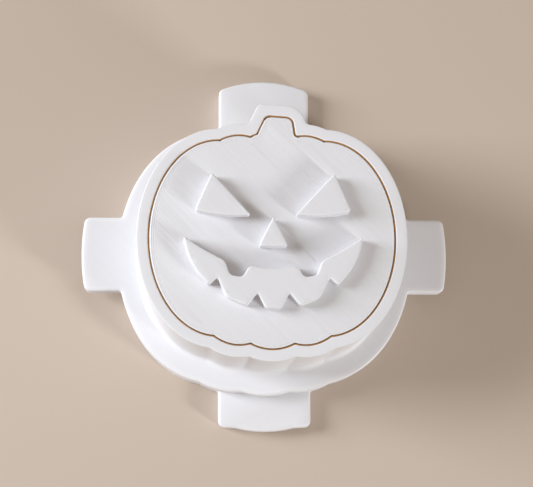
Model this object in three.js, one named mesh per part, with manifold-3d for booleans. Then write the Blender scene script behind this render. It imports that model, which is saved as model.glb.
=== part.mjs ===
// Cake pop mold: a two-piece hand press printed in white plastic. The stamp is a pumpkin-shaped
// plunger on a base plate, with a raised jack-o'-lantern face on top. The sleeve is a tube of the
// same outline with a flange, which slides over the stamp and holds the cake while it is pressed.
// Shown with the sleeve pushed down onto the base plate. Millimetres, +Z up, seen from above with
// the pumpkin's stem towards +Y. The origin is under the middle of the base plate.

import * as THREE from 'three';
import { mergeVertices } from 'three/addons/utils/BufferGeometryUtils.js';
import Module from 'manifold-3d';

// Pumpkin outline in plan: five upright ellipses, two of them pairs mirrored about x = 0.
const CENTRE_RIB_HALF_WIDTH = 13.9;
const CENTRE_RIB_HALF_HEIGHT = 22.3;
const MIDDLE_RIB_X = 6.7;
const MIDDLE_RIB_HALF_WIDTH = 12.6;
const MIDDLE_RIB_HALF_HEIGHT = 21.45;
const OUTER_RIB_X = 11;
const OUTER_RIB_HALF_WIDTH = 14;
const OUTER_RIB_HALF_HEIGHT = 20;
const OUTER_RIB_RAISE = 0.35;

// Stem: a stub with round corners on top of the centre rib, slanted on its left side. Its top left
// corner stays tight on the sleeve, where the right one widens with the outline.
const STEM_RISE = 3.25;
const STEM_TOP_LEFT_X = -0.35;
const STEM_TOP_RIGHT_X = 2.85;
const STEM_TOP_SLOPE = 0.2;
const STEM_FOOT_LEFT_X = -2.2;
const STEM_FOOT_RIGHT_X = 3.4;
const STEM_FOOT_DEPTH = 2;
const STEM_CORNER_RADIUS = 1.3;
const STEM_LEFT_RADIUS_MOST = 1.5;

// Heights and plate thicknesses.
const BASE_THICKNESS = 4;
const FLANGE_THICKNESS = 4;
const SLEEVE_HEIGHT = 30;
const FACE_RELIEF = 3;

// Fits and reaches, each measured outwards from the one before it. The seat gap is between the
// base plate and the sleeve that lies on it.
const FIT_CLEARANCE = 0.4;
const SEAT_GAP = 0.3;
const SLEEVE_WALL = 2.3;
const FLANGE_WIDTH = 5.2;

// Plates: they follow the ribs, a little taller and set a little towards the stem, where the
// middle ribs dip so that the end is one arch.
const PLATE_STRETCH = 0.65;
const PLATE_RAISE = 0.5;
const PLATE_DIP = 1.2;

// Finger tabs: the side pair is on the sleeve, the end pair on the base plate.
const SIDE_TAB_LENGTH = 7.95;
const SIDE_TAB_WIDTH = 16.6;
const SIDE_TAB_RAISE = 1.05;
const END_TAB_LENGTH = 9.4;
const END_TAB_WIDTH = 20.6;
const END_TAB_RAISE = 2.15;
const TAB_CORNER_RADIUS = 1.4;

// Roundings: of the plates' edges, of the sleeve's foot on its flange, and of the inner corners
// between ribs, stem and tabs in plan.
const TOP_EDGE_RADIUS = 0.6;
const BOTTOM_EDGE_RADIUS = 0.4;
const FOOT_RADIUS = 1.2;
const STAMP_NOTCH_RADIUS = 0.9;
const WALL_NOTCH_RADIUS = 1.4;
const PLATE_NOTCH_RADIUS = 0.7;

// Raised face: corners of each form as x, y and how far its rounding cuts back along the sides. x and
// y are from the face's middle, which is a little above that of the ribs. The left half is mirrored.
const FACE_RAISE = 0.15;
const EYE_CORNERS = [
  [12.5, 13, 0.6],
  [4.5, 4.3, 0.7],
  [10.4, 4.1, 3],
  [15.9, 5.2, 0.8],
];
const NOSE_HALF = [
  [0, 4, 0.6],
  [3, -2.1, 0.7],
];
const MOUTH_HALF = [
  [0, -6.9, 3],
  [4.9, -6.1, 0.8],
  [6.2, -8.4, 0.8],
  [8.8, -8, 0.9],
  [9.8, -5, 0.9],
  [13.6, -3.2, 3],
  [18.2, -0.1, 0.6],
  [17.3, -4, 2],
  [15.5, -7.2, 1.5],
  [13, -10, 0.6],
  [11.3, -8.5, 0.6],
  [9.4, -12.5, 0.9],
  [5.4, -14.2, 0.6],
  [3.2, -11.6, 0.6],
  [1.6, -14.7, 0.6],
];

// Facets of the curves, and how far a form that is joined or cut runs past the other.
const RIB_FACETS = 112;
const ARC_FACETS = 10;
const EDGE_FACETS = 4;
const BOTTOM_FACETS = 2;
const CORNER_FACETS = 4;
const OVERRUN = 1;
const WEDGE_DEPTH = 1;

const FULL_TURN = 2 * Math.PI;
const wasm = await Module();
wasm.setup();

// The ribs of the pumpkin and of the plates, with y measured from the middle of the centre rib.
const RIBS = [{
  x: 0,
  y: 0,
  halfWidth: CENTRE_RIB_HALF_WIDTH,
  halfHeight: CENTRE_RIB_HALF_HEIGHT,
  dip: 0,
}];
for (const side of [-1, 1]) {
  RIBS.push({
    x: side * MIDDLE_RIB_X,
    y: 0,
    halfWidth: MIDDLE_RIB_HALF_WIDTH,
    halfHeight: MIDDLE_RIB_HALF_HEIGHT,
    dip: PLATE_DIP,
  });
  RIBS.push({
    x: side * OUTER_RIB_X,
    y: OUTER_RIB_RAISE,
    halfWidth: OUTER_RIB_HALF_WIDTH,
    halfHeight: OUTER_RIB_HALF_HEIGHT,
    dip: 0,
  });
}
const PLATE_RIBS = RIBS.map((rib) => ({
  ...rib,
  y: rib.y + PLATE_RAISE - rib.dip / 2,
  halfHeight: rib.halfHeight + PLATE_STRETCH - rib.dip / 2,
}));
const STEM_TOP = CENTRE_RIB_HALF_HEIGHT + STEM_RISE;
const STEM_FOOT = CENTRE_RIB_HALF_HEIGHT - STEM_FOOT_DEPTH;
const PLATE_SIDE = Math.max(...PLATE_RIBS.map((rib) => rib.x + rib.halfWidth));
const PLATE_END = Math.max(...PLATE_RIBS.map((rib) => rib.halfHeight));

// How far each layer of the mold reaches beyond the stamp's outline.
const BORE_REACH = FIT_CLEARANCE;
const WALL_REACH = BORE_REACH + SLEEVE_WALL;
const FLANGE_REACH = WALL_REACH + FLANGE_WIDTH;
const SIDE_TAB_REACH = FLANGE_REACH + SIDE_TAB_LENGTH;
const END_TAB_REACH = FLANGE_REACH + END_TAB_LENGTH;
const SIDE_BAR_HALF = PLATE_SIDE + SIDE_TAB_REACH + OVERRUN;
const END_BAR_HALF = PLATE_END + END_TAB_REACH + OVERRUN;

// Curve at a distance outside an ellipse, so that every layer follows the ribs.
function ribOutline(rib, reach) {
  const points = [];
  for (let step = 0; step < RIB_FACETS; step += 1) {
    const angle = (FULL_TURN * step) / RIB_FACETS;
    const across = Math.cos(angle);
    const along = Math.sin(angle);
    const outward = new THREE.Vector2(rib.halfHeight * across, rib.halfWidth * along).setLength(reach);
    const point = new THREE.Vector2(rib.x + rib.halfWidth * across, rib.y + rib.halfHeight * along);
    points.push(point.add(outward));
  }
  return points;
}

// Point at an angle and a distance from the origin.
function polar(angle, distance) {
  return new THREE.Vector2(Math.cos(angle), Math.sin(angle)).multiplyScalar(distance);
}

// Outline at a distance round corner points that run anticlockwise, with an arc at each corner. A
// corner's arc has that distance as its radius, or the most that the corner allows.
function roundedOutline(corners, distance) {
  const points = [];
  corners.forEach(([x, y, most = Infinity], index) => {
    const before = corners[(index + corners.length - 1) % corners.length];
    const after = corners[(index + 1) % corners.length];
    const arriving = Math.atan2(before[0] - x, y - before[1]);
    const leaving = Math.atan2(x - after[0], after[1] - y);
    const turn = (((leaving - arriving) % FULL_TURN) + FULL_TURN) % FULL_TURN;
    const radius = Math.min(distance, most);
    const shift = polar(arriving + turn / 2, (distance - radius) / Math.cos(turn / 2));
    const centre = new THREE.Vector2(x, y).add(shift);
    for (let step = 0; step <= ARC_FACETS; step += 1) {
      points.push(polar(arriving + (turn * step) / ARC_FACETS, radius).add(centre));
    }
  });
  return points;
}

// Closed outline through corners of the raised face, each cut back and rounded.
function softOutline(corners) {
  const shape = new THREE.Shape();
  corners.forEach(([x, y, cut], index) => {
    const corner = new THREE.Vector2(x, y);
    const before = corners[(index + corners.length - 1) % corners.length];
    const after = corners[(index + 1) % corners.length];
    const start = new THREE.Vector2(before[0], before[1]).sub(corner).setLength(cut).add(corner);
    const end = new THREE.Vector2(after[0], after[1]).sub(corner).setLength(cut).add(corner);
    if (index === 0) {
      shape.moveTo(start.x, start.y);
    } else {
      shape.lineTo(start.x, start.y);
    }
    shape.quadraticCurveTo(corner.x, corner.y, end.x, end.y);
  });
  shape.closePath();
  return shape;
}

// Mirrored half of an outline, joined to the half that was given.
function wholeOf(half) {
  const mirrored = half.filter(([x]) => x > 0).map(([x, y, cut]) => [-x, y, cut]);
  return [...half, ...mirrored.reverse()];
}

// Closed mesh to solid, for joining and cutting.
function solidOf(geometry) {
  geometry.deleteAttribute('normal');
  geometry.deleteAttribute('uv');
  const welded = mergeVertices(geometry);
  return new wasm.Manifold(new wasm.Mesh({
    numProp: 3,
    vertProperties: new Float32Array(welded.attributes.position.array),
    triVerts: new Uint32Array(welded.index.array),
  }));
}

// Upright solid of a plan shape between two heights.
function prism(shape, bottom, top) {
  const geometry = new THREE.ExtrudeGeometry(shape, {
    depth: top - bottom,
    bevelEnabled: false,
    curveSegments: CORNER_FACETS,
  });
  geometry.translate(0, 0, bottom);
  return solidOf(geometry);
}

// Solid through rings of one outline, from the bottom up. Each level gives its reach and height.
function stack(outlineAt, levels) {
  const rings = levels.map(({ reach, height }) => outlineAt(reach).map(({ x, y }) => [x, y, height]));
  const size = rings[0].length;
  const corners = [];
  rings.slice(1).forEach((upper, index) => {
    const lower = rings[index];
    for (let step = 0; step < size; step += 1) {
      const next = (step + 1) % size;
      corners.push(lower[step], lower[next], upper[next], lower[step], upper[next], upper[step]);
    }
  });
  for (const [ring, facesUp] of [[rings[0], false], [rings[rings.length - 1], true]]) {
    const contour = ring.map(([x, y]) => new THREE.Vector2(x, y));
    for (const [first, second, third] of THREE.ShapeUtils.triangulateShape(contour, [])) {
      corners.push(ring[first], ring[facesUp ? second : third], ring[facesUp ? third : second]);
    }
  }
  const geometry = new THREE.BufferGeometry();
  geometry.setAttribute('position', new THREE.Float32BufferAttribute(corners.flat(), 3));
  return solidOf(geometry);
}

// Levels of an upright wall.
function wallLevels(reach, bottom, top) {
  return [{ reach, height: bottom }, { reach, height: top }];
}

// Levels of a plate that lies at height 0, with its edge rounded below and above.
function plateLevels(reach, thickness) {
  const levels = [];
  for (let step = 0; step <= BOTTOM_FACETS; step += 1) {
    const angle = (Math.PI / 2) * (step / BOTTOM_FACETS);
    levels.push({
      reach: reach - BOTTOM_EDGE_RADIUS * (1 - Math.sin(angle)),
      height: BOTTOM_EDGE_RADIUS * (1 - Math.cos(angle)),
    });
  }
  for (let step = 0; step <= EDGE_FACETS; step += 1) {
    const angle = (Math.PI / 2) * (step / EDGE_FACETS);
    levels.push({
      reach: reach - TOP_EDGE_RADIUS * (1 - Math.cos(angle)),
      height: thickness - TOP_EDGE_RADIUS * (1 - Math.sin(angle)),
    });
  }
  return levels;
}

// Levels of a wall on top of a plate, with a hollow rounding at its foot.
function footedLevels(reach, foot, top) {
  const levels = [{ reach: reach + FOOT_RADIUS, height: foot - OVERRUN }];
  for (let step = 0; step <= EDGE_FACETS; step += 1) {
    const angle = (Math.PI / 2) * (1 - step / EDGE_FACETS);
    levels.push({
      reach: reach + FOOT_RADIUS * (1 - Math.cos(angle)),
      height: foot + FOOT_RADIUS * (1 - Math.sin(angle)),
    });
  }
  levels.push({ reach, height: top });
  return levels;
}

// Where two closed outlines cross, with the outward normals of both there.
function crossings(first, second) {
  const found = [];
  first.forEach((start, index) => {
    const along = first[(index + 1) % first.length].clone().sub(start);
    second.forEach((otherStart, otherIndex) => {
      const otherAlong = second[(otherIndex + 1) % second.length].clone().sub(otherStart);
      const between = otherStart.clone().sub(start);
      const spread = along.cross(otherAlong);
      const share = between.cross(otherAlong) / spread;
      const otherShare = between.cross(along) / spread;
      if (share >= 0 && share < 1 && otherShare >= 0 && otherShare < 1) {
        found.push({
          point: along.clone().multiplyScalar(share).add(start),
          normals: [along, otherAlong].map(({ x, y }) => new THREE.Vector2(y, -x).normalize()),
        });
      }
    });
  });
  return found;
}

// Whether a point lies inside a closed outline that bulges outwards everywhere.
function isInside(point, outline) {
  return outline.every((corner, index) => {
    const along = outline[(index + 1) % outline.length].clone().sub(corner);
    return along.cross(point.clone().sub(corner)) > 0;
  });
}

// Wedge that rounds one corner: an arc about a centre, between the normals of the two outlines that
// meet there, and a point well beyond it. A centre further out than the outlines gives a filler for
// an inner corner, and one further in gives a cutter for an outer corner.
function wedgeAbout(centre, normals, centreReach) {
  const [from, to] = normals.map((normal) => normal.angle());
  const turn = ((((to - from) % FULL_TURN) + FULL_TURN + Math.PI) % FULL_TURN) - Math.PI;
  return (reach) => {
    const radius = reach - centreReach;
    const points = [];
    for (let step = 0; step <= EDGE_FACETS; step += 1) {
      points.push(polar(from + turn * (step / EDGE_FACETS), radius).add(centre));
    }
    points.push(polar(from + turn / 2, 2 * radius + Math.sign(radius) * WEDGE_DEPTH).add(centre));
    return turn > 0 ? points.reverse() : points;
  };
}

// Fillers for all inner corners between the outlines of a block. Their centres lie where the
// outlines cross at the centre's reach, outside every other outline.
function notchFillers(outlines, centreReach) {
  const rings = outlines.map((outlineAt) => outlineAt(centreReach));
  const fillers = [];
  rings.forEach((ring, index) => {
    rings.slice(index + 1).forEach((other) => {
      for (const { point, normals } of crossings(ring, other)) {
        if (!rings.some((third) => third !== ring && third !== other && isInside(point, third))) {
          fillers.push(wedgeAbout(point, normals, centreReach));
        }
      }
    });
  });
  return fillers;
}

// Block joined from stacked outlines, with the inner corners between them rounded.
function block(outlines, levels, centreReach) {
  const solids = [...outlines, ...notchFillers(outlines, centreReach)]
    .map((outlineAt) => stack(outlineAt, levels));
  return solids.reduce((whole, solid) => whole.add(solid));
}

const stemOutline = (reach) => roundedOutline([
  [STEM_FOOT_LEFT_X, STEM_FOOT],
  [STEM_FOOT_RIGHT_X, STEM_FOOT],
  [STEM_TOP_RIGHT_X, STEM_TOP - STEM_CORNER_RADIUS - STEM_TOP_SLOPE],
  [STEM_TOP_LEFT_X, STEM_TOP - STEM_CORNER_RADIUS, STEM_LEFT_RADIUS_MOST],
], STEM_CORNER_RADIUS + reach);
const pumpkinOutlines = [...RIBS.map((rib) => (reach) => ribOutline(rib, reach)), stemOutline];
const plateOutlines = PLATE_RIBS.map((rib) => (reach) => ribOutline(rib, reach));

// Cutters for the outer corners of a pair of tabs, where the bar's sides meet the tabs' ends.
function tabCutters(bar, ends, tabReach) {
  const sides = bar(FLANGE_REACH - TAB_CORNER_RADIUS);
  const rings = ends.map((outlineAt) => outlineAt(tabReach - TAB_CORNER_RADIUS));
  const cutters = [];
  rings.forEach((ring) => {
    for (const { point, normals } of crossings(sides, ring)) {
      if (!rings.some((other) => other !== ring && isInside(point, other))) {
        cutters.push(wedgeAbout(point, normals, 0));
      }
    }
  });
  return cutters;
}

// Plate in the outline of the ribs with a pair of finger tabs: a bar whose ends follow the ribs at
// the tabs' reach, about the tabs' own middle.
function tabbedPlate(halfX, halfY, middleY, tabReach, thickness) {
  const innerX = halfX - TAB_CORNER_RADIUS;
  const innerY = halfY - TAB_CORNER_RADIUS;
  const bar = (reach) => roundedOutline([
    [-innerX, middleY - innerY],
    [innerX, middleY - innerY],
    [innerX, middleY + innerY],
    [-innerX, middleY + innerY],
  ], TAB_CORNER_RADIUS + reach - FLANGE_REACH);
  const endShift = middleY - PLATE_RIBS[0].y;
  const ends = PLATE_RIBS.map((rib) => (reach) => ribOutline({ ...rib, y: rib.y + endShift }, reach));
  const plate = block(
    [...plateOutlines, bar],
    plateLevels(FLANGE_REACH, thickness),
    FLANGE_REACH + PLATE_NOTCH_RADIUS,
  ).intersect(block(ends, plateLevels(tabReach, thickness), tabReach + PLATE_NOTCH_RADIUS));
  const cutLevels = plateLevels(TAB_CORNER_RADIUS, thickness);
  cutLevels.unshift({ ...cutLevels[0], height: -OVERRUN });
  cutLevels.push({ ...cutLevels[cutLevels.length - 1], height: thickness + OVERRUN });
  return tabCutters(bar, ends, tabReach)
    .map((outlineAt) => stack(outlineAt, cutLevels))
    .reduce((whole, cutter) => whole.subtract(cutter), plate);
}

// Solid back to a named mesh in its own material.
function meshOf(name, solid, colour, roughness) {
  const { vertProperties, triVerts } = solid.getMesh();
  const geometry = new THREE.BufferGeometry();
  geometry.setAttribute('position', new THREE.BufferAttribute(vertProperties, 3));
  geometry.setIndex(new THREE.BufferAttribute(triVerts, 1));
  geometry.computeVertexNormals();
  const material = new THREE.MeshStandardMaterial({ color: colour, roughness, metalness: 0 });
  const mesh = new THREE.Mesh(geometry, material);
  mesh.name = name;
  return mesh;
}

// Stamp: base plate with tabs at the pumpkin's top and bottom, plunger and raised face in one print.
// The plunger's top is level with the sleeve's rim when the sleeve is down.
const sleeveBottom = BASE_THICKNESS + SEAT_GAP;
const plungerTop = sleeveBottom + SLEEVE_HEIGHT;
const mirroredEye = EYE_CORNERS.map(([x, y, cut]) => [-x, y, cut]).reverse();
const faceForms = [EYE_CORNERS, mirroredEye, wholeOf(NOSE_HALF), wholeOf(MOUTH_HALF)];
let stampSolid = tabbedPlate(END_TAB_WIDTH / 2, END_BAR_HALF, END_TAB_RAISE, END_TAB_REACH, BASE_THICKNESS)
  .add(block(pumpkinOutlines, wallLevels(0, OVERRUN, plungerTop), STAMP_NOTCH_RADIUS));
for (const corners of faceForms) {
  const form = prism(softOutline(corners), plungerTop - OVERRUN, plungerTop + FACE_RELIEF);
  stampSolid = stampSolid.add(form.translate(0, FACE_RAISE, 0));
}

// Sleeve: pumpkin tube with a flange and tabs at its sides, printed in one, open at both ends.
const tube = block(
  pumpkinOutlines,
  footedLevels(WALL_REACH, FLANGE_THICKNESS, SLEEVE_HEIGHT),
  WALL_REACH + WALL_NOTCH_RADIUS,
);
const bore = block(
  pumpkinOutlines,
  wallLevels(BORE_REACH, -OVERRUN, SLEEVE_HEIGHT + OVERRUN),
  STAMP_NOTCH_RADIUS,
);
const sleeveSolid = tabbedPlate(
  SIDE_BAR_HALF,
  SIDE_TAB_WIDTH / 2,
  SIDE_TAB_RAISE,
  SIDE_TAB_REACH,
  FLANGE_THICKNESS,
).add(tube).subtract(bore);

const stamp = meshOf('stamp', stampSolid, 0xe6e5ea, 0.5);
const sleeve = meshOf('sleeve', sleeveSolid, 0xe9e8ec, 0.5);
sleeve.position.z = sleeveBottom;

const mold = new THREE.Group();
mold.add(stamp, sleeve);
mold.position.y = -END_TAB_RAISE;

export default mold;
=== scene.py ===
import math

import bmesh
import bpy
import numpy as np
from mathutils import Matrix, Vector
from mathutils.geometry import delaunay_2d_cdt


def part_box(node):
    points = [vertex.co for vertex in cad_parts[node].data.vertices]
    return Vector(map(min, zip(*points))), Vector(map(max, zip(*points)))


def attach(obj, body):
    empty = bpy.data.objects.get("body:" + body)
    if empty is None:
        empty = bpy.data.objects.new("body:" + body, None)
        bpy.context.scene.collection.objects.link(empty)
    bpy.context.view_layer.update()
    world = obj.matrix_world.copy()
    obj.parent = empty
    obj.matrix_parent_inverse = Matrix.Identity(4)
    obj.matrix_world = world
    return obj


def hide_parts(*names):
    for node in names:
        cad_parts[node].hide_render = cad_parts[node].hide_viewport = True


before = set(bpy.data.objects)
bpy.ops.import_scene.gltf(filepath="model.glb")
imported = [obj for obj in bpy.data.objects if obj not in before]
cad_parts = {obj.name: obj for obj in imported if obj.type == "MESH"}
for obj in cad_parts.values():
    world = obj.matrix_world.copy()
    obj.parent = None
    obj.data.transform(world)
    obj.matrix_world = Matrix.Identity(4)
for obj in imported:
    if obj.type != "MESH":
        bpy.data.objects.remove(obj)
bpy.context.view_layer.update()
scene = bpy.context.scene
scene.view_settings.view_transform = "Standard"


# Worktop: a plain pale slab under the mold, wide enough to fill the view.
# Matt stone of a warm beige.
WORKTOP_HALF = 1.5
WORKTOP_COLOUR = (0.60, 0.50, 0.42)
WORKTOP_ROUGHNESS = 0.6
worktop_mesh = bpy.data.meshes.new("worktop")
corners = [(x * WORKTOP_HALF, y * WORKTOP_HALF, 0.0) for x, y in ((-1, -1), (1, -1), (1, 1), (-1, 1))]
worktop_mesh.from_pydata(corners, [], [(0, 1, 2, 3)])
worktop = bpy.data.objects.new("worktop", worktop_mesh)
scene.collection.objects.link(worktop)
stone = bpy.data.materials.new("pale_stone")
stone.use_nodes = True
stone_shader = stone.node_tree.nodes["Principled BSDF"]
stone_shader.inputs["Base Color"].default_value = (*WORKTOP_COLOUR, 1.0)
stone_shader.inputs["Roughness"].default_value = WORKTOP_ROUGHNESS
worktop_mesh.materials.append(stone)


# Light: a tall soft window low on the left, a smaller one low on the right, and a warm, even room.
# Each window faces the mold, at an azimuth and a height in degrees. Its colour is what a white sheet that
# faces it would send back.
ROOM_COLOUR = (0.351, 0.307, 0.261)
WINDOW_DISTANCE = 0.7
WINDOWS = (
    {
        "name": "left_window",
        "azimuth": 170,
        "height": 26,
        "size": (0.25, 0.5),
        "colour": (1.03, 1.09, 1.15),
    },
    {
        "name": "right_window",
        "azimuth": 323,
        "height": 21,
        "size": (0.12, 0.12),
        "colour": (0.45, 0.465, 0.474),
    },
)
MOLD_MIDDLE = Vector((0.0, 0.0, 0.02))
room = bpy.data.worlds.new("room")
room.use_nodes = True
room.node_tree.nodes["Background"].inputs["Color"].default_value = (*ROOM_COLOUR, 1.0)
scene.world = room
for window in WINDOWS:
    light = bpy.data.lights.new(window["name"], "AREA")
    light.shape = "RECTANGLE"
    light.size, light.size_y = window["size"]
    light.energy = (math.pi * WINDOW_DISTANCE) ** 2
    light.color = window["colour"]
    lamp = bpy.data.objects.new(window["name"], light)
    azimuth = math.radians(window["azimuth"])
    height = math.radians(window["height"])
    level = math.cos(height)
    way = Vector((level * math.cos(azimuth), level * math.sin(azimuth), math.sin(height)))
    lamp.location = MOLD_MIDDLE + way * WINDOW_DISTANCE
    lamp.rotation_euler = way.to_track_quat("Z", "Y").to_euler()
    scene.collection.objects.link(lamp)


# Camera: above the stamp and a little to its lower left, as the photograph was taken.
# Its turn is about X, then Y, then Z, in degrees away from straight down.
CAMERA_AT = (-0.01695, -0.04893, 0.29446)
CAMERA_TURN = (8.577, -2.939, 0.326)
CAMERA_SHIFT = (0.02, 0.06)
CAMERA_NEAREST = 0.01
SENSOR_WIDTH = 36.0
IMAGE_WIDTH = 533
FOCAL_PIXELS = 1300
lens = bpy.data.cameras.new("camera")
lens.sensor_width = SENSOR_WIDTH
lens.lens = FOCAL_PIXELS / IMAGE_WIDTH * SENSOR_WIDTH
lens.shift_x, lens.shift_y = CAMERA_SHIFT
lens.clip_start = CAMERA_NEAREST
camera = bpy.data.objects.new("camera", lens)
camera.location = CAMERA_AT
camera.rotation_mode = "ZYX"
camera.rotation_euler = [math.radians(angle) for angle in CAMERA_TURN]
scene.collection.objects.link(camera)
scene.camera = camera


# Stamp: the pumpkin press with the raised face, on a base plate with a finger tab at each end. One print
# in white plastic: its walls show the printed layers, its level faces the diagonal lines of the nozzle, and
# its level edges are slightly round. It is loose in the sleeve and lies on the worktop.
PLATE_THICKNESS = 0.004
PLATE_TOP_ROUNDING = 0.0006
PLATE_BOTTOM_ROUNDING = 0.0004
PLATE_FALL = 0.000068
PLATE_FALL_WIDTH = 0.0016
PLUNGER_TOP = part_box("sleeve")[1].z
PLUNGER_ROUNDING = 0.0002
PLUNGER_FALL = 0.00003
PLUNGER_FALL_WIDTH = 0.001
PLUNGER_ROUNDS = 2
ROUNDS_GAP = 0.7
PLUNGER_LIP = 0.00012
PLUNGER_LIP_HEIGHT = 0.001
PLUNGER_LIP_SIDE = math.radians(155)
FACE_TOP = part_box("stamp")[1].z
FACE_ROUNDING = 0.0003
FACE_FALL = 0.000065
FACE_FALL_WIDTH = 0.0014
EDGE_STEPS = 4
FALL_STEPS = 6
FALL_CROWDING = 1.5
FALL_CURVE = 3
NO_FALL = ((0.0, 0.0),)
LAYER_HEIGHT = 0.00028
LAYER_DEPTH = 0.00002
LINE_PITCH = 0.00042
LINE_TURN = math.radians(45)
LINE_CLEARANCE = 0.9
LEAST_STEEPNESS = 0.25
PLATE_LINE_MARGIN = 0.00045
PLATE_LINE_DEPTH = 0.000002
PLUNGER_LINE_MARGIN = (PLUNGER_ROUNDS + ROUNDS_GAP) * LINE_PITCH
FACE_LINE_MARGIN = 2.0 * FACE_ROUNDING
FACE_LINE_DEPTH = 0.000026
RING_STEP = 0.0004
RING_BREAK = 0.0015
RELIEF_JITTER = 0.4
STAMP_SEED = 3

# Tolerances: what counts as one place, as one height, as level, as upright and as a crease.
MESH_GRAIN = 0.00002
CUT_GRAIN = 0.000002
SAME_LEVEL = 0.00001
SAME_PLACE = 0.0000001
NEARLY_ALL = 0.999
JUST_OVER = 1.001
FLAT_ANGLE = math.radians(0.5)
UPRIGHT_SLOPE = 0.01
LEVEL_SLOPE = 0.99
WALL_CREASE = 1.2
EDGE_CREASE = 0.7
MILLIMETRES = 1000.0

# The plastic: shades of its streaks, a painted highlight on its rounded edges and a painted warm shade on
# its sliding faces in the gap, then its gloss and grain.
STAMP_SHADES = ((0.80, 0.80, 0.84), (0.84, 0.84, 0.88))
EDGE_HIGHLIGHT_SHADE = (0.87, 0.87, 0.90)
# The sliding faces get a painted warm shade, standing in for the shade between the walls that face each
# other across the gap.
GAP_WARM_PAINTED_SHADE = (0.83, 0.80, 0.78)
STREAK_LENGTH = 0.04
STREAK_DETAIL = 2.0
PLASTIC_IOR = 1.46
PLASTIC_ROUGHNESS = (0.38, 0.52)
GRAIN_SCALE = 5000.0
GRAIN_HEIGHT = 0.00001
GRAIN_STRENGTH = 0.2


def is_upright(face):
    """Whether a face stands upright."""
    return abs(face.normal.z) < UPRIGHT_SLOPE


def is_column(edge):
    """Whether an edge stands upright."""
    return (edge.verts[0].co - edge.verts[1].co).xy.length < SAME_PLACE


def print_shape(node):
    """The frame's node as one closed shape, its flat faces joined, with layers for what its print adds and
    for the painted highlight and painted shade.
    """
    shape = bmesh.new()
    shape.from_mesh(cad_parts[node].data)
    shape.verts.layers.float_vector.new("bead_way")
    shape.verts.layers.int.new("bead_course")
    for name in ("line_fill", "sliding", "edge"):
        shape.verts.layers.float.new(name)
    bmesh.ops.remove_doubles(shape, verts=shape.verts, dist=MESH_GRAIN)
    bmesh.ops.dissolve_limit(shape, angle_limit=FLAT_ANGLE, verts=shape.verts, edges=shape.edges)
    shape.normal_update()
    return shape


def edge_fall(radius, drop, width):
    """The drop at each distance from a rounded border, where the face also falls a little over a width."""
    bends = [math.pi / 2 * step / EDGE_STEPS for step in range(EDGE_STEPS)] if radius else []
    shares = [(step / FALL_STEPS) ** FALL_CROWDING for step in range(FALL_STEPS + 1)]
    fall = [(radius * (1.0 - math.cos(bend)), drop + radius * (1.0 - math.sin(bend))) for bend in bends]
    return fall + [(radius + width * share, drop * (1.0 - share) ** FALL_CURVE) for share in shares]


def plate_edge(shape, low):
    """Lowers a plate's edge rounding above one height, so that it meets the fall of the plate's top."""
    for vertex in shape.verts:
        climb = (vertex.co.z - low) / PLATE_TOP_ROUNDING
        if 0.0 < climb < NEARLY_ALL:
            vertex.co.z -= PLATE_FALL * climb


def lay_walls(shape, low, high, sliding=False):
    """Cuts the upright faces between two heights into printed layers, beads with grooves between them."""
    columns = [
        edge
        for edge in shape.edges
        if is_column(edge)
        and abs(min(vertex.co.z for vertex in edge.verts) - low) < SAME_LEVEL
        and abs(max(vertex.co.z for vertex in edge.verts) - high) < SAME_LEVEL
    ]
    layers = round((high - low) / LAYER_HEIGHT)
    bmesh.ops.subdivide_edges(shape, edges=columns, cuts=2 * layers - 1, use_grid_fill=True)
    shape.normal_update()
    way = shape.verts.layers.float_vector["bead_way"]
    course = shape.verts.layers.int["bead_course"]
    slides = shape.verts.layers.float["sliding"]
    for face in shape.faces:
        if not is_upright(face) or not low < face.calc_center_median().z < high:
            continue
        for vertex in face.verts:
            ring = round((vertex.co.z - low) / (high - low) * 2 * layers)
            vertex[slides] = 1.0 if sliding else 0.0
            if 0 < ring < 2 * layers:
                vertex[course] = ring // 2 + 1
                vertex[way] = -LAYER_DEPTH * vertex.normal if ring % 2 == 0 else (0.0, 0.0, 0.0)
        for edge in face.edges:
            bottom, top = sorted(vertex.co.z for vertex in edge.verts)
            if top - bottom < SAME_LEVEL and low + SAME_LEVEL < bottom < high - SAME_LEVEL:
                edge.smooth = False


def flat_area(shape, level):
    """The flat faces at one height, and the loops of corners round them, with the faces on their left."""
    faces = [
        face
        for face in shape.faces
        if all(abs(vertex.co.z - level) < SAME_LEVEL for vertex in face.verts)
    ]
    inside = set(faces)
    after = {}
    for face in faces:
        for corner in face.loops:
            if sum(other in inside for other in corner.edge.link_faces) == 1:
                after[corner.vert] = corner.link_loop_next.vert
    loops = []
    while after:
        loop = [next(iter(after))]
        while loop[-1] in after:
            loop.append(after.pop(loop[-1]))
        loops.append(loop[:-1])
    return faces, loops


def outer_loops(loops):
    """The loops that run round an area, without those round its holes."""
    outer = []
    for loop in loops:
        turns = [a.co.xy.cross(b.co.xy) for a, b in zip(loop, loop[1:] + loop[:1])]
        if sum(turns) > 0.0:
            outer.append(loop)
    return outer


def loop_sides(loops):
    """Where each side of the loops starts, and where it ends."""
    starts = np.array([vertex.co.xy for loop in loops for vertex in loop])
    ends = np.array([vertex.co.xy for loop in loops for vertex in loop[1:] + loop[:1]])
    return starts, ends


def border_distance(places, loops):
    """How far each place is from the nearest side of the loops."""
    starts, ends = loop_sides(loops)
    sides = ends - starts
    gaps = places[:, None, :] - starts[None, :, :]
    share = np.clip(np.sum(gaps * sides, axis=2) / np.sum(sides * sides, axis=1), 0.0, 1.0)
    return np.linalg.norm(gaps - share[:, :, None] * sides, axis=2).min(axis=1)


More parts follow.
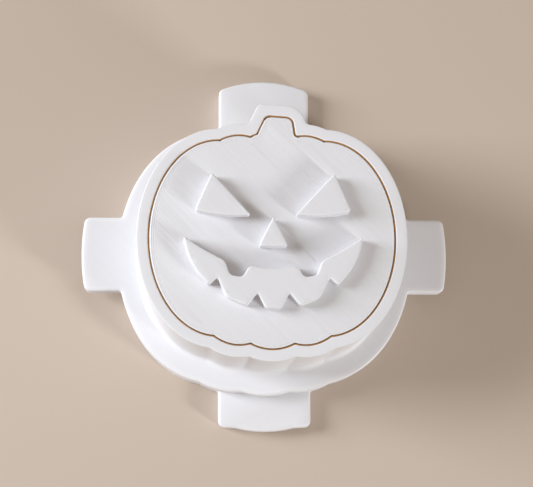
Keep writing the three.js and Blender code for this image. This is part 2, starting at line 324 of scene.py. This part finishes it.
def inward_steps(loop):
    """Each corner's place on a loop, and the step that moves the loop by one unit to its left."""
    places = np.array([vertex.co.xy for vertex in loop])
    sides = np.roll(places, -1, axis=0) - places
    leaving = np.stack((-sides[:, 1], sides[:, 0]), axis=1) / np.linalg.norm(sides, axis=1)[:, None]
    arriving = np.roll(leaving, 1, axis=0)
    return places, (leaving + arriving) / (1.0 + np.sum(leaving * arriving, axis=1))[:, None]


def add_ring(laid, links, loop, loops, distance, half_course):
    """Adds a line at a distance inside one loop, left out where another part of the border is nearer."""
    places, steps = inward_steps(loop)
    moved = []
    for place, after, step in zip(places, np.roll(places, -1, axis=0), steps):
        side = after - place
        length = np.linalg.norm(side)
        parts = math.ceil(length / RING_STEP)
        inward = np.array((-side[1], side[0])) / length
        moved.append(place + step / np.linalg.norm(step) * distance)
        moved += [place + side * (part + 0.5) / parts + inward * distance for part in range(parts)]
    moved = np.array(moved)
    ring = moved[border_distance(moved, loops) > NEARLY_ALL * distance]
    after = np.roll(ring, -1, axis=0)
    for number in np.nonzero(np.linalg.norm(after - ring, axis=1) < RING_BREAK)[0]:
        if len(ring) > 2:
            links.append((len(laid) + number, len(laid) + (number + 1) % len(ring)))
    laid += [(place, half_course) for place in ring]


def settle_slivers(spots, triangles, drops):
    """Drops the apex of each very thin triangle to its long side, so that no sliver stands on edge."""
    for turn in range(3):
        apex, start, end = np.roll(triangles, turn, axis=1).T
        side = spots[end] - spots[start]
        share = np.sum((spots[apex] - spots[start]) * side, axis=1) / np.sum(side**2, axis=1)
        height = np.linalg.norm(spots[start] + share[:, None] * side - spots[apex], axis=1)
        thin = (height < MESH_GRAIN) & (share > 0.0) & (share < 1.0)
        drops[apex[thin]] = (drops[start] + share * (drops[end] - drops[start]))[thin]


def is_within(place, starts, ends):
    """Whether a place lies in the area whose border has those sides."""
    spans = (starts[:, 1] > place[1]) != (ends[:, 1] > place[1])
    climb = (place[1] - starts[spans, 1]) / (ends[spans, 1] - starts[spans, 1])
    reach = starts[spans, 0] + climb * (ends[spans, 0] - starts[spans, 0])
    return np.count_nonzero(reach > place[0]) % 2 == 1


def fill_flat(shape, level, area, laid, lines, folds, depth, fall, upward=True):
    """Swaps a flat area for the same area cut along lines and folds, which falls towards its outer border.

    Each laid point gives its place and its bead's half course, which is even in a groove between two beads.
    The fall gives the drop at each distance from the border. The cutting is done in millimetres, because in
    metres its numbers are too small.
    """
    faces, loops = area
    down = -1.0 if upward else 1.0
    kept = [vertex for loop in loops for vertex in loop]
    number_of = {vertex: number for number, vertex in enumerate(kept)}
    rims = [(number_of[a], number_of[b]) for loop in loops for a, b in zip(loop, loop[1:] + loop[:1])]
    starts, ends = loop_sides(loops)
    places = [vertex.co.xy for vertex in kept] + [place for place, half_course in laid]
    cuts = [(int(a) + len(kept), int(b) + len(kept)) for a, b in [*lines, *folds]]
    spots, _, triangles, sources, _, _ = delaunay_2d_cdt(
        [Vector(place) * MILLIMETRES for place in places], rims + cuts, [], 0, CUT_GRAIN * MILLIMETRES
    )
    spots = np.array(spots) / MILLIMETRES
    triangles = np.array(triangles)
    bmesh.ops.delete(shape, geom=faces, context="FACES_KEEP_BOUNDARY")
    way = shape.verts.layers.float_vector["bead_way"]
    course = shape.verts.layers.int["bead_course"]
    edge_highlight = shape.verts.layers.float["edge"]
    drops = np.zeros(len(spots))
    if fall != NO_FALL:
        drops = np.interp(border_distance(spots, outer_loops(loops)), *np.transpose(fall))
        settle_slivers(spots, triangles, drops)
    corners = []
    made = {}
    for spot, drop, source in zip(spots, drops, sources):
        number = source[0] if source else None
        if number is not None and number < len(kept):
            corner = kept[number]
            corner.co.z = level + down * drop
        else:
            corner = shape.verts.new((*spot, level + down * drop))
            if number is not None:
                made[number] = corner
                corner[course] = laid[number - len(kept)][1]
                if corner[course] % 2 == 0:
                    corner[way] = (0.0, 0.0, down * depth)
            # Points in the fall near a border are marked for the painted highlight, by how far they have
            # dropped.
            if drop > MESH_GRAIN:
                corner[edge_highlight] = drop / fall[0][1]
        corners.append(corner)
    for triangle, centre in zip(triangles, spots[triangles].mean(axis=1)):
        if is_within(centre, starts, ends):
            order = triangle if upward else triangle[::-1]
            shape.faces.new([corners[number] for number in order])
    for a, b in cuts[: len(lines)]:
        edge = shape.edges.get((made[a], made[b])) if a in made and b in made else None
        if edge:
            edge.smooth = False
    return corners


def lay_lines(shape, level, depth, margin, fall=NO_FALL, rounds=0, upward=True):
    """Lays the flat faces at one height with straight diagonal nozzle lines that end at a margin.

    Inside the margin, that many rounds of lines follow the outer border. A height without flat faces is
    passed over.
    """
    faces, loops = flat_area(shape, level)
    if not loops:
        return
    turn = -LINE_TURN if upward else LINE_TURN
    along = np.array((math.cos(turn), math.sin(turn)))
    across = np.array((-math.sin(turn), math.cos(turn)))
    starts, ends = loop_sides(loops)
    start_s, end_s = starts @ across, ends @ across
    start_t, end_t = starts @ along, ends @ along
    steepness = np.abs(end_s - start_s) / np.linalg.norm(ends - starts, axis=1)
    retreat = margin / np.maximum(steepness, LEAST_STEEPNESS)
    half = LINE_PITCH / 2
    laid = []
    lines = []
    folds = []
    for number in range(math.ceil(start_s.min() / half), math.floor(start_s.max() / half) + 1):
        s = number * half
        crossed = np.nonzero((start_s < s) != (end_s < s))[0]
        share = (s - start_s[crossed]) / (end_s[crossed] - start_s[crossed])
        hits = start_t[crossed] + share * (end_t[crossed] - start_t[crossed])
        hits = sorted(zip(hits, retreat[crossed]))
        for (enter, enter_retreat), (leave, leave_retreat) in zip(hits[::2], hits[1::2]):
            enter += enter_retreat
            leave -= leave_retreat
            if leave - enter < LINE_PITCH:
                continue
            line = [along * t + across * s for t in (enter, leave)]
            if border_distance(np.array(line), loops).min() < LINE_CLEARANCE * margin:
                continue
            lines.append((len(laid), len(laid) + 1))
            laid += [(place, number) for place in line]
    for loop in outer_loops(loops):
        for distance, _ in fall[1:]:
            add_ring(laid, folds, loop, loops, distance, 1)
        if rounds:
            for number in range(2, 2 * rounds + 2):
                add_ring(laid, lines, loop, loops, half * number, number)
    fill = shape.verts.layers.float["line_fill"]
    for corner in fill_flat(shape, level, (faces, loops), laid, lines, folds, depth, fall, upward):
        corner[fill] = 1.0


def growth_tree(name, inputs):
    """A tree for geometry and those other inputs, with its nodes for what is given and what is made."""
    tree = bpy.data.node_groups.new(name, "GeometryNodeTree")
    for socket, kind in (("Geometry", "NodeSocketGeometry"), *inputs):
        tree.interface.new_socket(socket, in_out="INPUT", socket_type=kind)
    tree.interface.new_socket("Geometry", in_out="OUTPUT", socket_type="NodeSocketGeometry")
    return tree, tree.nodes.new("NodeGroupInput"), tree.nodes.new("NodeGroupOutput")


def uneven_scale(tree, given, amount):
    """A random draw, and a scale that strays with it from 1, or from what is linked to its last input."""
    chance = tree.nodes.new("FunctionNodeRandomValue")
    chance.data_type = "FLOAT"
    chance.inputs["Min"].default_value = -1.0
    chance.inputs["Max"].default_value = 1.0
    scale = tree.nodes.new("ShaderNodeMath")
    scale.operation = "MULTIPLY_ADD"
    scale.inputs[2].default_value = 1.0
    tree.links.new(given.outputs["Seed"], chance.inputs["Seed"])
    tree.links.new(chance.outputs["Value"], scale.inputs[0])
    tree.links.new(given.outputs[amount], scale.inputs[1])
    return chance, scale


def end_tree(tree, given, made, grown):
    """Makes the grown geometry real, sets its material and hands it to the tree's output."""
    real = tree.nodes.new("GeometryNodeRealizeInstances")
    coated = tree.nodes.new("GeometryNodeSetMaterial")
    tree.links.new(grown, real.inputs["Geometry"])
    tree.links.new(real.outputs["Geometry"], coated.inputs["Geometry"])
    tree.links.new(given.outputs["Material"], coated.inputs["Material"])
    tree.links.new(coated.outputs["Geometry"], made.inputs["Geometry"])


def relief_tree():
    """A tree that presses the grooves between beads into a printed shape, some deeper than others."""
    inputs = (("Jitter", "NodeSocketFloat"), ("Seed", "NodeSocketInt"), ("Material", "NodeSocketMaterial"))
    tree, given, made = growth_tree("bead_relief", inputs)
    way = tree.nodes.new("GeometryNodeInputNamedAttribute")
    way.data_type = "FLOAT_VECTOR"
    way.inputs["Name"].default_value = "bead_way"
    course = tree.nodes.new("GeometryNodeInputNamedAttribute")
    course.data_type = "INT"
    course.inputs["Name"].default_value = "bead_course"
    chance, scale = uneven_scale(tree, given, "Jitter")
    tree.links.new(course.outputs["Attribute"], chance.inputs["ID"])
    step = tree.nodes.new("ShaderNodeVectorMath")
    step.operation = "SCALE"
    tree.links.new(way.outputs["Attribute"], step.inputs["Vector"])
    tree.links.new(scale.outputs["Value"], step.inputs["Scale"])
    moved = tree.nodes.new("GeometryNodeSetPosition")
    tree.links.new(given.outputs["Geometry"], moved.inputs["Geometry"])
    tree.links.new(step.outputs["Vector"], moved.inputs["Offset"])
    end_tree(tree, given, made, moved.outputs["Geometry"])
    return tree


def grown_piece(name, mesh, tree, wanted):
    """The mesh as an object, remade by the tree with those inputs into a plain mesh."""
    piece = bpy.data.objects.new(name, mesh)
    scene.collection.objects.link(piece)
    growth = piece.modifiers.new("growth", "NODES")
    growth.node_group = tree
    for socket in tree.interface.items_tree:
        if socket.in_out == "INPUT" and socket.name in wanted:
            growth[socket.identifier] = wanted[socket.name]
    seen = bpy.context.evaluated_depsgraph_get()
    piece.data = bpy.data.meshes.new_from_object(piece.evaluated_get(seen))
    piece.modifiers.clear()
    bpy.data.meshes.remove(mesh)
    piece.data.name = name
    return piece


def printed_piece(name, shape, tree, seed, material):
    """The shape as a plain mesh object with its bead relief pressed in."""
    shape.normal_update()
    edge_highlight = shape.verts.layers.float["edge"]
    # Points on rounded edges are marked for the painted highlight.
    for vertex in shape.verts:
        if all(UPRIGHT_SLOPE < abs(face.normal.z) < LEVEL_SLOPE for face in vertex.link_faces):
            vertex[edge_highlight] = 1.0
    for face in shape.faces:
        face.smooth = True
    for edge in shape.edges:
        crease = WALL_CREASE if all(is_upright(face) for face in edge.link_faces) else EDGE_CREASE
        if edge.calc_face_angle(0.0) > crease:
            edge.smooth = False
    mesh = bpy.data.meshes.new(name)
    shape.to_mesh(mesh)
    shape.free()
    return grown_piece(name, mesh, tree, {"Jitter": RELIEF_JITTER, "Seed": seed, "Material": material})


def printed_plastic(name, shades):
    """White printed plastic: streaks along its beads, a painted highlight on rounded edges, a painted warm
    shade on the sliding faces in the gap.
    """
    plastic = bpy.data.materials.new(name)
    plastic.use_nodes = True
    nodes = plastic.node_tree.nodes
    links = plastic.node_tree.links
    shader = nodes["Principled BSDF"]
    shader.inputs["IOR"].default_value = PLASTIC_IOR
    where = nodes.new("ShaderNodeTexCoord")
    layer_streak = (STREAK_LENGTH, STREAK_LENGTH, LAYER_HEIGHT)
    line_streak = (STREAK_LENGTH, LINE_PITCH, STREAK_LENGTH)
    streaks = []
    for turn, size in ((0.0, layer_streak), (-LINE_TURN, line_streak)):
        mapping = nodes.new("ShaderNodeMapping")
        mapping.vector_type = "TEXTURE"
        mapping.inputs["Rotation"].default_value = (0.0, 0.0, turn)
        mapping.inputs["Scale"].default_value = size
        noise = nodes.new("ShaderNodeTexNoise")
        noise.inputs["Scale"].default_value = 1.0
        noise.inputs["Detail"].default_value = STREAK_DETAIL
        links.new(where.outputs["Object"], mapping.inputs["Vector"])
        links.new(mapping.outputs["Vector"], noise.inputs["Vector"])
        streaks.append(noise)
    marks = {}
    for mark in ("line_fill", "sliding", "edge"):
        marks[mark] = nodes.new("ShaderNodeAttribute")
        marks[mark].attribute_name = mark
    streak = nodes.new("ShaderNodeMix")
    links.new(marks["line_fill"].outputs["Fac"], streak.inputs["Factor"])
    links.new(streaks[0].outputs["Fac"], streak.inputs["A"])
    links.new(streaks[1].outputs["Fac"], streak.inputs["B"])
    tone = nodes.new("ShaderNodeMix")
    tone.data_type = "RGBA"
    tone.inputs["A"].default_value = (*shades[0], 1.0)
    tone.inputs["B"].default_value = (*shades[1], 1.0)
    links.new(streak.outputs["Result"], tone.inputs["Factor"])
    # The edge mark lays on a painted highlight, and the sliding mark lays on a painted warm shade for the
    # gap.
    for mark, shade in (("edge", EDGE_HIGHLIGHT_SHADE), ("sliding", GAP_WARM_PAINTED_SHADE)):
        over = nodes.new("ShaderNodeMix")
        over.data_type = "RGBA"
        over.inputs["B"].default_value = (*shade, 1.0)
        links.new(marks[mark].outputs["Fac"], over.inputs["Factor"])
        links.new(tone.outputs["Result"], over.inputs["A"])
        tone = over
    links.new(tone.outputs["Result"], shader.inputs["Base Color"])
    gloss = nodes.new("ShaderNodeMapRange")
    gloss.inputs["To Min"].default_value, gloss.inputs["To Max"].default_value = PLASTIC_ROUGHNESS
    links.new(streak.outputs["Result"], gloss.inputs["Value"])
    links.new(gloss.outputs["Result"], shader.inputs["Roughness"])
    grain = nodes.new("ShaderNodeTexNoise")
    grain.inputs["Scale"].default_value = GRAIN_SCALE
    links.new(where.outputs["Object"], grain.inputs["Vector"])
    bump = nodes.new("ShaderNodeBump")
    bump.inputs["Strength"].default_value = GRAIN_STRENGTH
    bump.inputs["Distance"].default_value = GRAIN_HEIGHT
    links.new(grain.outputs["Fac"], bump.inputs["Height"])
    links.new(bump.outputs["Normal"], shader.inputs["Normal"])
    return plastic


plate_fall = edge_fall(0.0, PLATE_FALL, PLATE_FALL_WIDTH)
plunger_fall = edge_fall(PLUNGER_ROUNDING, PLUNGER_FALL, PLUNGER_FALL_WIDTH)
face_fall = edge_fall(FACE_ROUNDING, FACE_FALL, FACE_FALL_WIDTH)
plunger_edge = PLUNGER_TOP - plunger_fall[0][1]
face_edge = FACE_TOP - face_fall[0][1]
plate_margin = PLATE_LINE_MARGIN + PLATE_FALL_WIDTH
stamp_shape = print_shape("stamp")
plate_edge(stamp_shape, PLATE_THICKNESS - PLATE_TOP_ROUNDING)
lay_lines(stamp_shape, 0.0, PLATE_LINE_DEPTH, PLATE_LINE_MARGIN, upward=False)
lay_lines(stamp_shape, PLATE_THICKNESS, PLATE_LINE_DEPTH, plate_margin, plate_fall)
lay_lines(stamp_shape, PLUNGER_TOP, FACE_LINE_DEPTH, PLUNGER_LINE_MARGIN, plunger_fall, PLUNGER_ROUNDS)
lay_lines(stamp_shape, FACE_TOP, FACE_LINE_DEPTH, FACE_LINE_MARGIN, face_fall)
lay_walls(stamp_shape, PLATE_BOTTOM_ROUNDING, PLATE_THICKNESS - PLATE_TOP_ROUNDING)
# The plunger's walls are marked sliding, for the painted warm shade of the gap.
lay_walls(stamp_shape, PLATE_THICKNESS, plunger_edge, sliding=True)
lay_walls(stamp_shape, PLUNGER_TOP, face_edge)

# The plunger bulges a little just under its top edge, most towards one side.
stamp_shape.normal_update()
lip_side = Vector((math.cos(PLUNGER_LIP_SIDE), math.sin(PLUNGER_LIP_SIDE)))
for vertex in stamp_shape.verts:
    climb = 1.0 - (plunger_edge - vertex.co.z) / PLUNGER_LIP_HEIGHT
    if 0.0 < climb < JUST_OVER:
        outward = vertex.normal.xy.normalized()
        vertex.co.xy += outward * PLUNGER_LIP * climb**2 * (1.0 + outward.dot(lip_side)) / 2

bead_relief = relief_tree()
stamp_plastic = printed_plastic("stamp_plastic", STAMP_SHADES)
stamp = printed_piece("printed_stamp", stamp_shape, bead_relief, STAMP_SEED, stamp_plastic)
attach(stamp, "stamp")
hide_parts("stamp")


# Sleeve: the pumpkin-shaped tube that slides over the stamp, with a flange round its foot and a finger tab
# on either side. One print in the same white plastic, its rim laid in lines that follow the outline.
SLEEVE_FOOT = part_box("sleeve")[0].z
FLANGE_TOP = SLEEVE_FOOT + PLATE_THICKNESS
FOOT_ROUNDING = 0.0012
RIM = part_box("sleeve")[1].z
RIM_WIDTH = 0.0023
RIM_ROUNDING = 0.0002
RIM_FALL = 0.00005
RIM_FALL_WIDTH = 0.001
RIM_LINE_DEPTH = 0.000004
BORE_ROUNDING = 0.0002
SHARP_EDGE = 1.0
FLAT_SLOPE = 0.999
CROWDED = 0.00015
SLEEVE_SEED = 8
SLEEVE_SHADES = ((0.81, 0.81, 0.85), (0.85, 0.85, 0.89))


def is_flat(face):
    """Whether a face lies flat."""
    return abs(face.normal.z) > FLAT_SLOPE


def clear_crowds(shape):
    """Joins corners that stand too close together along the borders of flat faces."""
    shape.normal_update()
    bmesh.ops.triangulate(shape, faces=[face for face in shape.faces if is_flat(face)])
    crowded = [
        vertex
        for vertex in shape.verts
        if 0 < sum(is_flat(face) for face in vertex.link_faces) < len(vertex.link_faces)
    ]
    bmesh.ops.remove_doubles(shape, verts=crowded, dist=CROWDED)
    bmesh.ops.delete(shape, geom=[edge for edge in shape.edges if not edge.link_faces], context="EDGES")
    shape.normal_update()


def round_bore(shape, level):
    """Rounds the bore's edge at one level."""
    rounded = []
    for edge in shape.edges:
        if max(abs(vertex.co.z - level) for vertex in edge.verts) < SAME_LEVEL and edge.is_convex:
            wall = min(edge.link_faces, key=lambda face: abs(face.normal.z))
            inward = wall.normal.xy.dot(wall.calc_center_median().xy) < 0.0
            if inward and edge.calc_face_angle() > SHARP_EDGE:
                rounded.append(edge)
    bmesh.ops.bevel(
        shape,
        geom=rounded,
        offset=BORE_ROUNDING,
        offset_type="OFFSET",
        segments=EDGE_STEPS,
        profile=0.5,
        affect="EDGES",
        loop_slide=False,
        clamp_overlap=False,
    )
    clear_crowds(shape)


def lay_rings(shape, level, width, depth, fall):
    """Lays the flat rim at one height with nozzle lines round it, from either border to its middle.

    A height without flat faces is passed over.
    """
    faces, loops = flat_area(shape, level)
    if not loops:
        return
    half = LINE_PITCH / 2
    laid = []
    lines = []
    folds = []
    for loop in loops:
        for number in range(1, 1 + int(width / LINE_PITCH)):
            add_ring(laid, lines, loop, loops, half * number, number)
    for loop in outer_loops(loops):
        for distance, _ in fall[1:]:
            if distance < half:
                add_ring(laid, folds, loop, loops, distance, 1)
    fill_flat(shape, level, (faces, loops), laid, lines, folds, depth, fall)


rim_fall = edge_fall(RIM_ROUNDING, RIM_FALL, RIM_FALL_WIDTH)
sleeve_shape = print_shape("sleeve")
round_bore(sleeve_shape, SLEEVE_FOOT)
round_bore(sleeve_shape, RIM)

# Of the rim's two borders, the bore's is the one that reaches less far. The seam follows it later.
rim_loops = flat_area(sleeve_shape, RIM)[1]
bore_loop = min(rim_loops, key=lambda loop: max(vertex.co.x for vertex in loop))
bore_places, bore_steps = inward_steps(bore_loop)

plate_edge(sleeve_shape, FLANGE_TOP - PLATE_TOP_ROUNDING)
lay_lines(sleeve_shape, SLEEVE_FOOT, PLATE_LINE_DEPTH, PLATE_LINE_MARGIN, upward=False)
lay_lines(sleeve_shape, FLANGE_TOP, PLATE_LINE_DEPTH, plate_margin, plate_fall)
lay_rings(sleeve_shape, RIM, RIM_WIDTH, RIM_LINE_DEPTH, rim_fall)
lay_walls(sleeve_shape, SLEEVE_FOOT + PLATE_BOTTOM_ROUNDING, FLANGE_TOP - PLATE_TOP_ROUNDING)
lay_walls(sleeve_shape, FLANGE_TOP + FOOT_ROUNDING, RIM - rim_fall[0][1])

# Only the bore has edges that run up past the flange in one piece, and the bore slides on the plunger.
# These sliding faces get the painted warm shade of the gap.
slides = sleeve_shape.verts.layers.float["sliding"]
for edge in sleeve_shape.edges:
    if is_column(edge) and edge.calc_length() > RIM - FLANGE_TOP:
        for vertex in edge.verts:
            vertex[slides] = 1.0

sleeve_plastic = printed_plastic("sleeve_plastic", SLEEVE_SHADES)
sleeve = printed_piece("printed_sleeve", sleeve_shape, bead_relief, SLEEVE_SEED, sleeve_plastic)
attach(sleeve, "sleeve")
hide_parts("sleeve")


# Seam: the brown line round the face, a thin brown thread of painted shade laid in the gap between stamp
# and sleeve, standing in for the gap's shade. It clings to the sleeve's bore just under the rim, clear of
# the stamp, and slides with the sleeve. Towards one side it lies lower and is thicker.
SEAM_RADIUS = 0.00015
SEAM_DEPTH = 0.00029
SEAM_TILT = 0.0035
SEAM_LOW_SIDE = math.radians(-25)
SEAM_STAND_OFF = 0.0001
SEAM_SWELL = 0.15
SEAM_STEP = 0.0004
SEAM_SIDES = 10
SEAM_UNEVENNESS = 0.12
SEAM_SEED = 5
SEAM_SHADES = ((0.32, 0.135, 0.025), (0.48, 0.225, 0.055))
SEAM_ROUGHNESS = 0.6
SEAM_PATCHES = 300.0


def seam_tree():
    """A tree that lays an uneven round thread along a path, as thick as the path's swell says."""
    inputs = (
        ("Radius", "NodeSocketFloat"),
        ("Step", "NodeSocketFloat"),
        ("Sides", "NodeSocketInt"),
        ("Unevenness", "NodeSocketFloat"),
        ("Seed", "NodeSocketInt"),
        ("Material", "NodeSocketMaterial"),
    )
    tree, given, made = growth_tree("gap_shade_thread", inputs)
    path = tree.nodes.new("GeometryNodeMeshToCurve")
    even = tree.nodes.new("GeometryNodeResampleCurve")
    even.mode = "LENGTH"
    tree.links.new(given.outputs["Geometry"], path.inputs["Mesh"])
    tree.links.new(path.outputs["Curve"], even.inputs["Curve"])
    tree.links.new(given.outputs["Step"], even.inputs["Length"])
    swell = tree.nodes.new("GeometryNodeInputNamedAttribute")
    swell.inputs["Name"].default_value = "swell"
    _, scale = uneven_scale(tree, given, "Unevenness")
    tree.links.new(swell.outputs["Attribute"], scale.inputs[2])
    round_section = tree.nodes.new("GeometryNodeCurvePrimitiveCircle")
    tree.links.new(given.outputs["Sides"], round_section.inputs["Resolution"])
    tree.links.new(given.outputs["Radius"], round_section.inputs["Radius"])
    thread = tree.nodes.new("GeometryNodeCurveToMesh")
    tree.links.new(even.outputs["Curve"], thread.inputs["Curve"])
    tree.links.new(round_section.outputs["Curve"], thread.inputs["Profile Curve"])
    tree.links.new(scale.outputs["Value"], thread.inputs["Scale"])
    end_tree(tree, given, made, thread.outputs["Mesh"])
    return tree


def painted_gap_shade():
    """Brown painted shade for the gap, darker and paler in patches."""
    batter = bpy.data.materials.new("painted_gap_shade")
    batter.use_nodes = True
    nodes = batter.node_tree.nodes
    links = batter.node_tree.links
    shader = nodes["Principled BSDF"]
    shader.inputs["Roughness"].default_value = SEAM_ROUGHNESS
    where = nodes.new("ShaderNodeTexCoord")
    patches = nodes.new("ShaderNodeTexNoise")
    patches.inputs["Scale"].default_value = SEAM_PATCHES
    tone = nodes.new("ShaderNodeMix")
    tone.data_type = "RGBA"
    tone.inputs["A"].default_value = (*SEAM_SHADES[0], 1.0)
    tone.inputs["B"].default_value = (*SEAM_SHADES[1], 1.0)
    links.new(where.outputs["Object"], patches.inputs["Vector"])
    links.new(patches.outputs["Fac"], tone.inputs["Factor"])
    links.new(tone.outputs["Result"], shader.inputs["Base Color"])
    return batter


seam_low_way = np.array((math.cos(SEAM_LOW_SIDE), math.sin(SEAM_LOW_SIDE)))
seam_swell = 1.0 + SEAM_SWELL * (bore_places @ seam_low_way) / np.linalg.norm(bore_places, axis=1)
seam_places = bore_places - bore_steps * (BORE_ROUNDING + SEAM_STAND_OFF * seam_swell)[:, None]
seam_heights = RIM - SEAM_DEPTH - SEAM_TILT * seam_places @ seam_low_way
seam_corners = [(x, y, z) for (x, y), z in zip(seam_places, seam_heights)]
seam_sides = [(number, (number + 1) % len(seam_corners)) for number in range(len(seam_corners))]
seam_path = bpy.data.meshes.new("seam_path")
seam_path.from_pydata(seam_corners, seam_sides, [])
seam_path.attributes.new("swell", "FLOAT", "POINT").data.foreach_set("value", seam_swell)
seam_inputs = {
    "Radius": SEAM_RADIUS,
    "Step": SEAM_STEP,
    "Sides": SEAM_SIDES,
    "Unevenness": SEAM_UNEVENNESS,
    "Seed": SEAM_SEED,
    "Material": painted_gap_shade(),
}
seam = grown_piece("gap_shade_seam", seam_path, seam_tree(), seam_inputs)
for face in seam.data.polygons:
    face.use_smooth = True
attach(seam, "sleeve")
